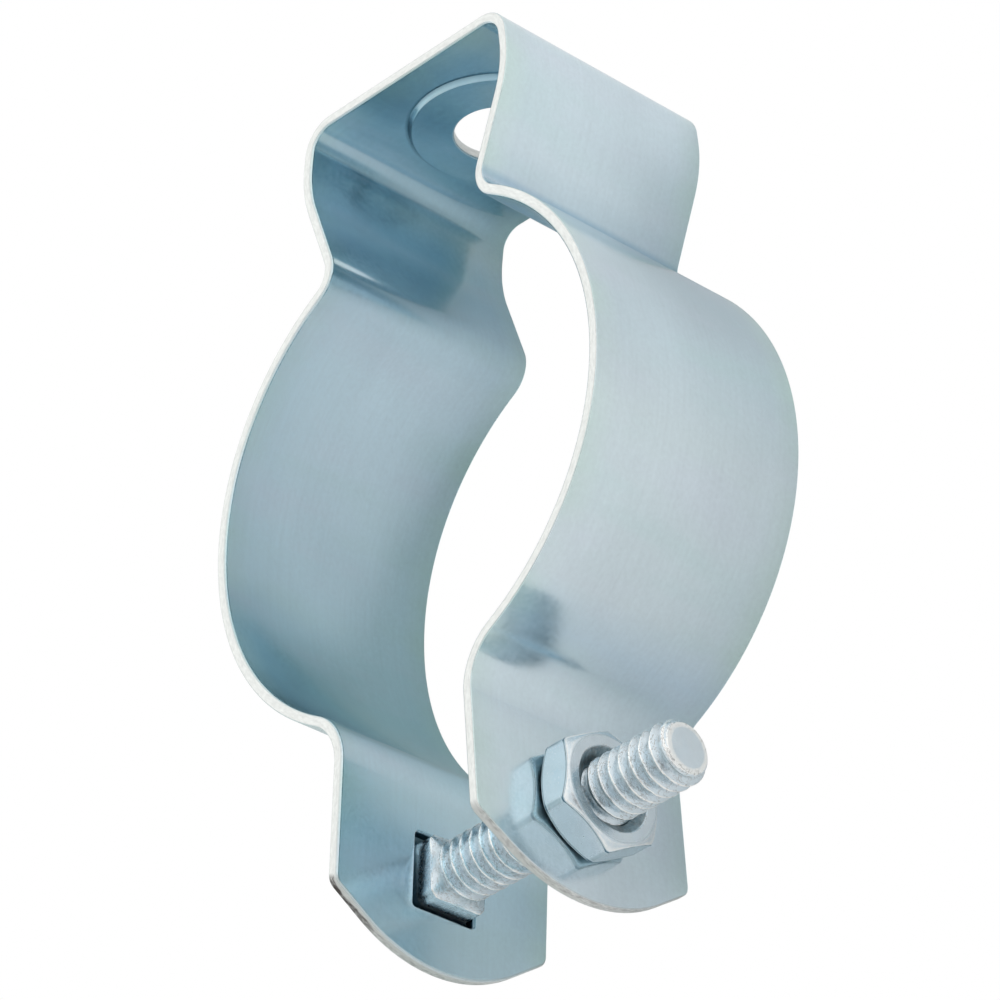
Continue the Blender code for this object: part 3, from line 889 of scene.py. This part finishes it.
# Inside, from the bottom of the ring to the foot bend, a painted reflection darkens the strip and
# makes it bluer towards the -Y edge.
FOOT_REFLECTION = (0.22, 0.48, 0.64)
FOOT_REFLECTION_STARTS, FOOT_REFLECTION_FULL = 62 * MM, 76 * MM
FOOT_REFLECTION_FADES, FOOT_REFLECTION_ENDS = 90 * MM, 94 * MM
TEAL_ZINC = (0.60, 0.80, 0.80)
LAVENDER_ZINC = (0.74, 0.79, 0.90)
EDGE_ZINC = (0.72, 0.74, 0.72)
BOLT_ZINC = (0.70, 0.79, 0.84)
WORN_AND_HIGHLIT_ZINC = (0.96, 0.97, 0.95)
# Two colours of painted shade: the first for the thread's grooves, the second, deeper, for holes,
# the nut's inside and back, and where parts meet.
GROOVE_SHADE = (0.42, 0.53, 0.57)
DEEP_SHADE = (0.07, 0.17, 0.24)
STAINED_ZINC = (0.33, 0.32, 0.30)
CREASE_SHADE = (0.20, 0.34, 0.42)
GREEN_ZINC = (0.66, 0.83, 0.76)
TORN_ZINC = ((0.42, 0.43, 0.42), (0.76, 0.78, 0.76))
TORN_DARK = (0.09, 0.08, 0.075)
BLUE_ZINC = (0.64, 0.76, 0.84)
# The plating is greener over this width at the strip's long edges.
GREEN_MARGIN = 3.2 * MM
# The torn metal turns dark between these places across the strip, and its border wanders this far.
DARK_TEAR = (-6.5 * MM, -9.5 * MM)
TEAR_WAVE = 0.18 * MM
# Cut edges nearer to the square hole's middle than this are its own.
AROUND_SQUARE = (5 * MM, 4.5 * MM)
RIM_STAIN = 0.35
# Depths of bump in metres
ROLLED_BUMP = 0.000004
SPECK_BUMP = 0.000006
BOLT_SPECK_BUMP = 0.000012
BOLT_BUMP = 0.00003
CUT_BUMP = 0.00005


def strap_zinc():
    """The strap's plating and its cut edges, from the place on the flat strip."""
    n = Nodes("strap zinc")
    strip = n.attribute("strip", "Vector")
    cut = n.attribute("cut", "Fac")
    inner = n.attribute("inner", "Fac")
    along, across, lift = n.parts(strip)
    from_middle = n.math("ABSOLUTE", along)
    cloud = n.noise(n.scaled(strip, (60, 90, 400)), 1.0, 3)
    tint = n.noise(n.scaled(strip, (150, 40, 100)), 1.0, 3)
    rolled = n.noise(n.scaled(strip, (60, 2500, 100)), 1.0, 3, 0.6)
    speck = n.noise(strip, 2200, 3, 0.65)
    # The ramps paint shade and reflections along each side of the strap.
    colour = n.mix(inner, n.ramp(from_middle, OUTER_ZINC_LIGHT_AND_SHADE), n.ramp(from_middle, INNER_ZINC_LIGHT_AND_SHADE))
    shade = n.spread(cloud, 0.3, 0.7, 0.94, 1.04)
    colour = n.mix(n.spread(tint, 0.52, 0.72, 0, 0.40), colour, TEAL_ZINC)
    colour = n.mix(n.spread(tint, 0.48, 0.28, 0, 0.35), colour, LAVENDER_ZINC)
    # Painted reflection: darker and bluer inside towards the -Y edge, low on the ring and at the
    # foot.
    foot_reflection = n.all_of(inner, n.spread(from_middle, FOOT_REFLECTION_STARTS, FOOT_REFLECTION_FULL),
                       n.spread(from_middle, FOOT_REFLECTION_ENDS, FOOT_REFLECTION_FADES),
                       n.spread(across, 2 * MM, -STRIP_WIDTH / 2, 0, 0.8))
    colour = n.mix(foot_reflection, colour, FOOT_REFLECTION)
    near_edge = n.spread(n.math("ABSOLUTE", across), STRIP_WIDTH / 2 - GREEN_MARGIN,
                         STRIP_WIDTH / 2, 0, 0.55)
    colour = n.mix(n.all_of(near_edge, n.spread(tint, 0.35, 0.6, 0.3, 1.0)), colour, GREEN_ZINC)
    colour = n.times(colour, shade)
    colour = n.times(colour, n.spread(speck, 0.25, 0.75, 0.95, 1.03))
    colour = n.times(colour, n.spread(rolled, 0.25, 0.75, 0.975, 1.02))
    # Painted shade darkens the inner side along the foot of the pressed seat.
    ground = n.new("ShaderNodeVectorMath", operation="LENGTH")
    n.tree.links.new(n.scaled(strip, (1, 1, 0)), ground.inputs[0])
    from_crease = n.math("ABSOLUTE", n.math("SUBTRACT", ground.outputs["Value"],
                                            SEAT_RADIUS + SEAT_SHOULDER))
    crease_shade = n.all_of(n.spread(from_crease, 0.28 * MM, 0.08 * MM, 0, 0.75), inner)
    colour = n.mix(crease_shade, colour, CREASE_SHADE)
    # Sheared edges are bright. At the ears' ends the outer half of the edge is torn, and darkest on
    # the rear ear towards -Y. The square hole's edge is painted dark with shade.
    rough_cut = n.noise(n.scaled(strip, (1400, 1400, 5000)), 1.0, 4, 0.7)
    wave = n.noise(n.scaled(strip, (500, 500, 0)), 1.0, 2)
    edge = n.mix(n.spread(rough_cut, 0.3, 0.7), tuple(0.8 * c for c in EDGE_ZINC), EDGE_ZINC)
    tear_line = n.math("ADD", lift, n.spread(wave, 0.3, 0.7, -TEAR_WAVE, TEAR_WAVE))
    at_end = n.spread(from_middle, LENGTHS[-1] - END_DEPTH, LENGTHS[-1] - END_DEPTH + 0.5 * MM)
    torn = n.all_of(n.spread(tear_line, -0.12 * MM, 0.02 * MM), at_end)
    torn_colour = n.mix(n.spread(rough_cut, 0.35, 0.65), *TORN_ZINC)
    dark = n.all_of(n.spread(along, 0, -1 * MM), n.spread(across, *DARK_TEAR),
                    n.spread(rough_cut, 0.7, 0.45))
    torn_colour = n.mix(dark, torn_colour, TORN_DARK)
    edge = n.mix(torn, edge, torn_colour)
    from_square = n.math("ABSOLUTE", n.math("SUBTRACT", along, hole_length(-1)))
    square_hole_shade = n.all_of(n.spread(from_square, *AROUND_SQUARE),
                         n.spread(n.math("ABSOLUTE", across), *AROUND_SQUARE))
    edge = n.mix(square_hole_shade, edge, DEEP_SHADE)
    colour = n.mix(n.spread(cut, 0.3, 0.9), colour, edge)
    # A faint stain runs along the rounding of the ears' ends.
    rim = n.all_of(n.spread(cut, 0.05, 0.3), n.spread(cut, 0.8, 0.4), at_end, RIM_STAIN)
    colour = n.mix(rim, colour, STAINED_ZINC)
    n.feed(n.shader, Base_Color=colour, Metallic=1.0)
    rough = n.spread(speck, 0.3, 0.7, 0.14, 0.21)
    rough = n.math("ADD", rough, n.spread(cut, 0.4, 1.0, 0.0, 0.22))
    rough = n.math("ADD", rough, n.math("MULTIPLY", inner, 0.03))
    n.feed(n.shader, Roughness=rough)
    bump = n.bump(rolled, 0.25, ROLLED_BUMP)
    bump = n.bump(speck, 0.3, SPECK_BUMP, bump)
    bump = n.bump(n.math("MULTIPLY", rough_cut, cut), 0.5, CUT_BUMP, bump)
    n.feed(n.shader, Normal=bump)
    return n.material


def bolt_zinc():
    """The bolt's and nut's plating, bright where worn or painted with a highlight, dark with painted
    shade in grooves.
    """
    n = Nodes("bolt zinc")
    place = n.new("ShaderNodeTexCoord").outputs["Object"]
    wear_and_shading = n.attribute("wear_and_shading", "Fac")
    scratched = n.attribute("scratched", "Fac")
    cloud = n.noise(place, 900, 3)
    streak = n.noise(place, 2600, 4, 0.7)
    speck = n.noise(place, 5200, 3, 0.6)
    uneven = n.math("MULTIPLY", n.spread(streak, 0.25, 0.75, -0.35, 0.35),
                    n.spread(scratched, 0, 1, 0.45, 1.0))
    uneven = n.math("ADD", wear_and_shading, uneven)
    colour = n.mix(n.spread(cloud, 0.35, 0.65), tuple(0.95 * c for c in BOLT_ZINC), BOLT_ZINC)
    colour = n.mix(n.spread(n.noise(place, 400, 2), 0.5, 0.7, 0, 0.5), colour, BLUE_ZINC)
    # Painted shade, partly stained, darkens the grooves, and deeper painted shade the holes and the
    # nut.
    groove = n.mix(n.spread(cloud, 0.5, 0.65, 0, 0.6), GROOVE_SHADE, STAINED_ZINC)
    colour = n.mix(n.spread(uneven, -0.3, -0.9, 0, 0.9), colour, groove)
    colour = n.mix(n.spread(uneven, -0.95, -1.5, 0, 0.95), colour, DEEP_SHADE)
    # The brightest marks are partly worn and partly a painted highlight.
    colour = n.mix(n.spread(uneven, 0.35, 0.8, 0, 0.95), colour, WORN_AND_HIGHLIT_ZINC)
    # Fine dark scores run around the thread.
    scores = n.noise(n.scaled(place, (2600, 500, 500)), 1.0, 3, 0.75)
    score = n.spread(n.math("ABSOLUTE", n.math("SUBTRACT", scores, 0.5)), 0.022, 0.006, 0, 0.6)
    colour = n.mix(n.all_of(score, scratched), colour, STAINED_ZINC)
    rough = n.spread(speck, 0.3, 0.7, 0.16, 0.28)
    rough = n.math("ADD", rough, n.spread(uneven, 0.0, -1.0, 0, 0.25))
    n.feed(n.shader, Base_Color=colour, Metallic=1.0, Roughness=rough)
    bump = n.bump(cloud, 0.35, BOLT_BUMP)
    bump = n.bump(streak, 0.4, BOLT_BUMP, bump)
    n.feed(n.shader, Normal=n.bump(speck, 0.3, BOLT_SPECK_BUMP, bump))
    return n.material


# Stage

CAMERA_PLACE = Vector((278.80, -260.98, -274.93)) * MM
CAMERA_AIM = Vector((-0.352, 0.0, -42.98)) * MM
CAMERA_ROLL = math.radians(-0.27)
CAMERA_LENS = 174.3
OBJECT_MIDDLE = Vector((0, 0, -45)) * MM
FLOOR_DEPTH = 0.8
FLOOR_REACH = 4.0
FLOOR_COLOUR = (0.8, 0.8, 0.8)
# A white card close behind the object, greyer beside the rear leg. Nothing within WHITE_CARD_CLEAR
# of the card sees it, so that the rear cut edges don't turn dark.
WHITE_CARD_PLACE = 12.95 * MM
WHITE_CARD_REACH = 0.7
WHITE_CARD_CLEAR = 0.45 * MM
WHITE_CARD_COLOURS = ((0.88, 0.88, 0.88), (0.66, 0.70, 0.69))
WHITE_CARD_FADE = (-12 * MM, -18 * MM)
# A grey card beyond the bolt's tip gives the sides of the threads something darker to reflect.
GREY_CARD_DIRECTION = (0.99, -0.09, -0.08)
GREY_CARD_DISTANCE = 0.8
GREY_CARD_SIZE = 0.34
GREY_CARD_COLOUR = (0.35, 0.36, 0.37)
KEY_DIRECTION = (-0.62, -0.58, 0.52)
KEY_DISTANCE = 1.0
KEY_SIZE = 0.7
KEY_RADIANCE = 0.5


def plain(name, colour):
    """A matt material of one colour."""
    n = Nodes(name)
    n.feed(n.shader, Base_Color=(*colour, 1), Roughness=0.9)
    n.shader.inputs["Specular IOR Level"].default_value = 0.0
    return n.material


def plane(name, place, across, up, material):
    """A piece of the stage: a flat card around a place, from half its width and half its height."""
    corners = [place + across * i + up * j for i, j in ((-1, -1), (1, -1), (1, 1), (-1, 1))]
    mesh = bpy.data.meshes.new(name)
    mesh.from_pydata(corners, [], [(0, 1, 2, 3)])
    mesh.materials.append(material)
    thing = bpy.data.objects.new(name, mesh)
    bpy.context.collection.objects.link(thing)
    return thing


def soft_light(name, direction, distance, size, radiance):
    """A square soft box that shines at the middle of the object."""
    data = bpy.data.lights.new(name, "AREA")
    data.shape = "SQUARE"
    data.size = size
    data.energy = radiance * math.pi * size * size
    lamp = bpy.data.objects.new(name, data)
    lamp.location = OBJECT_MIDDLE + Vector(direction).normalized() * distance
    lamp.rotation_euler = (OBJECT_MIDDLE - lamp.location).to_track_quat("-Z", "Y").to_euler()
    bpy.context.collection.objects.link(lamp)


def card_white():
    """The white card's material."""
    n = Nodes("card white")
    side, _, _ = n.parts(n.new("ShaderNodeNewGeometry").outputs["Position"])
    grey = n.spread(side, *WHITE_CARD_FADE)
    n.feed(n.shader, Base_Color=n.mix(grey, *WHITE_CARD_COLOURS), Roughness=0.9)
    n.shader.inputs["Specular IOR Level"].default_value = 0.0
    clear = n.new("ShaderNodeBsdfTransparent")
    both = n.new("ShaderNodeMixShader")
    near = n.math("LESS_THAN", n.new("ShaderNodeLightPath").outputs["Ray Length"], WHITE_CARD_CLEAR)
    n.tree.links.new(near, both.inputs[0])
    n.tree.links.new(n.shader.outputs[0], both.inputs[1])
    n.tree.links.new(clear.outputs[0], both.inputs[2])
    n.tree.links.new(both.outputs[0], n.tree.nodes["Material Output"].inputs["Surface"])
    return n.material


def make_stage():
    """World, floor, cards, light and camera."""
    scene = bpy.context.scene
    scene.view_settings.view_transform = "Standard"
    world = bpy.data.worlds.new("studio")
    world.use_nodes = True
    world.node_tree.nodes["Background"].inputs["Color"].default_value = (1, 1, 1, 1)
    world.node_tree.nodes["Background"].inputs["Strength"].default_value = 1.0
    scene.world = world

    white = plain("stage white", FLOOR_COLOUR)
    plane("floor", Vector((0, 0, -FLOOR_DEPTH)), Vector((FLOOR_REACH, 0, 0)),
          Vector((0, FLOOR_REACH, 0)), white)
    bounce = plane("bounce_card", OBJECT_MIDDLE + Vector((0, WHITE_CARD_PLACE, 0)),
                   Vector((WHITE_CARD_REACH, 0, 0)), Vector((0, 0, WHITE_CARD_REACH)), card_white())
    bounce.visible_camera = False
    towards = Vector(GREY_CARD_DIRECTION).normalized()
    across = towards.cross(Vector((0, 0, 1))).normalized() * GREY_CARD_SIZE / 2
    grey = plane("grey_card", OBJECT_MIDDLE + towards * GREY_CARD_DISTANCE, across,
                 across.cross(towards), plain("card grey", GREY_CARD_COLOUR))
    grey.visible_camera = grey.visible_diffuse = grey.visible_shadow = False
    soft_light("key", KEY_DIRECTION, KEY_DISTANCE, KEY_SIZE, KEY_RADIANCE)

    data = bpy.data.cameras.new("camera")
    data.lens = CAMERA_LENS
    data.sensor_width = 36
    data.clip_start = 0.01
    camera = bpy.data.objects.new("camera", data)
    bpy.context.collection.objects.link(camera)
    forward = (CAMERA_AIM - CAMERA_PLACE).normalized()
    right = forward.cross(Vector((0, 0, 1))).normalized()
    up = right.cross(forward)
    right_rolled = right * math.cos(CAMERA_ROLL) + up * math.sin(CAMERA_ROLL)
    up_rolled = up * math.cos(CAMERA_ROLL) - right * math.sin(CAMERA_ROLL)
    turn = Matrix((right_rolled, up_rolled, -forward)).transposed()
    camera.matrix_world = Matrix.Translation(CAMERA_PLACE) @ turn.to_4x4()
    scene.camera = camera


def main():
    make_stage()
    strap = make_strap()
    strap.data.materials.append(strap_zinc())
    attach(strap, "strap")
    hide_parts("hanger_strap")

    middle, axis, nut_back, tip = bolt_lengths()
    upward = axis.cross(Vector((0, 1, 0))).normalized()
    turn = Matrix((axis, upward.cross(axis), upward)).transposed()
    place = Matrix.Translation(middle) @ turn.to_4x4()
    shiny = bolt_zinc()
    bolt = make_bolt(place, tip)
    nut = make_nut(place, nut_back)
    for piece, body, node in ((bolt, "bolt", "carriage_bolt"), (nut, "nut", "hex_nut")):
        piece.data.materials.append(shiny)
        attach(piece, body)
        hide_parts(node)


main()
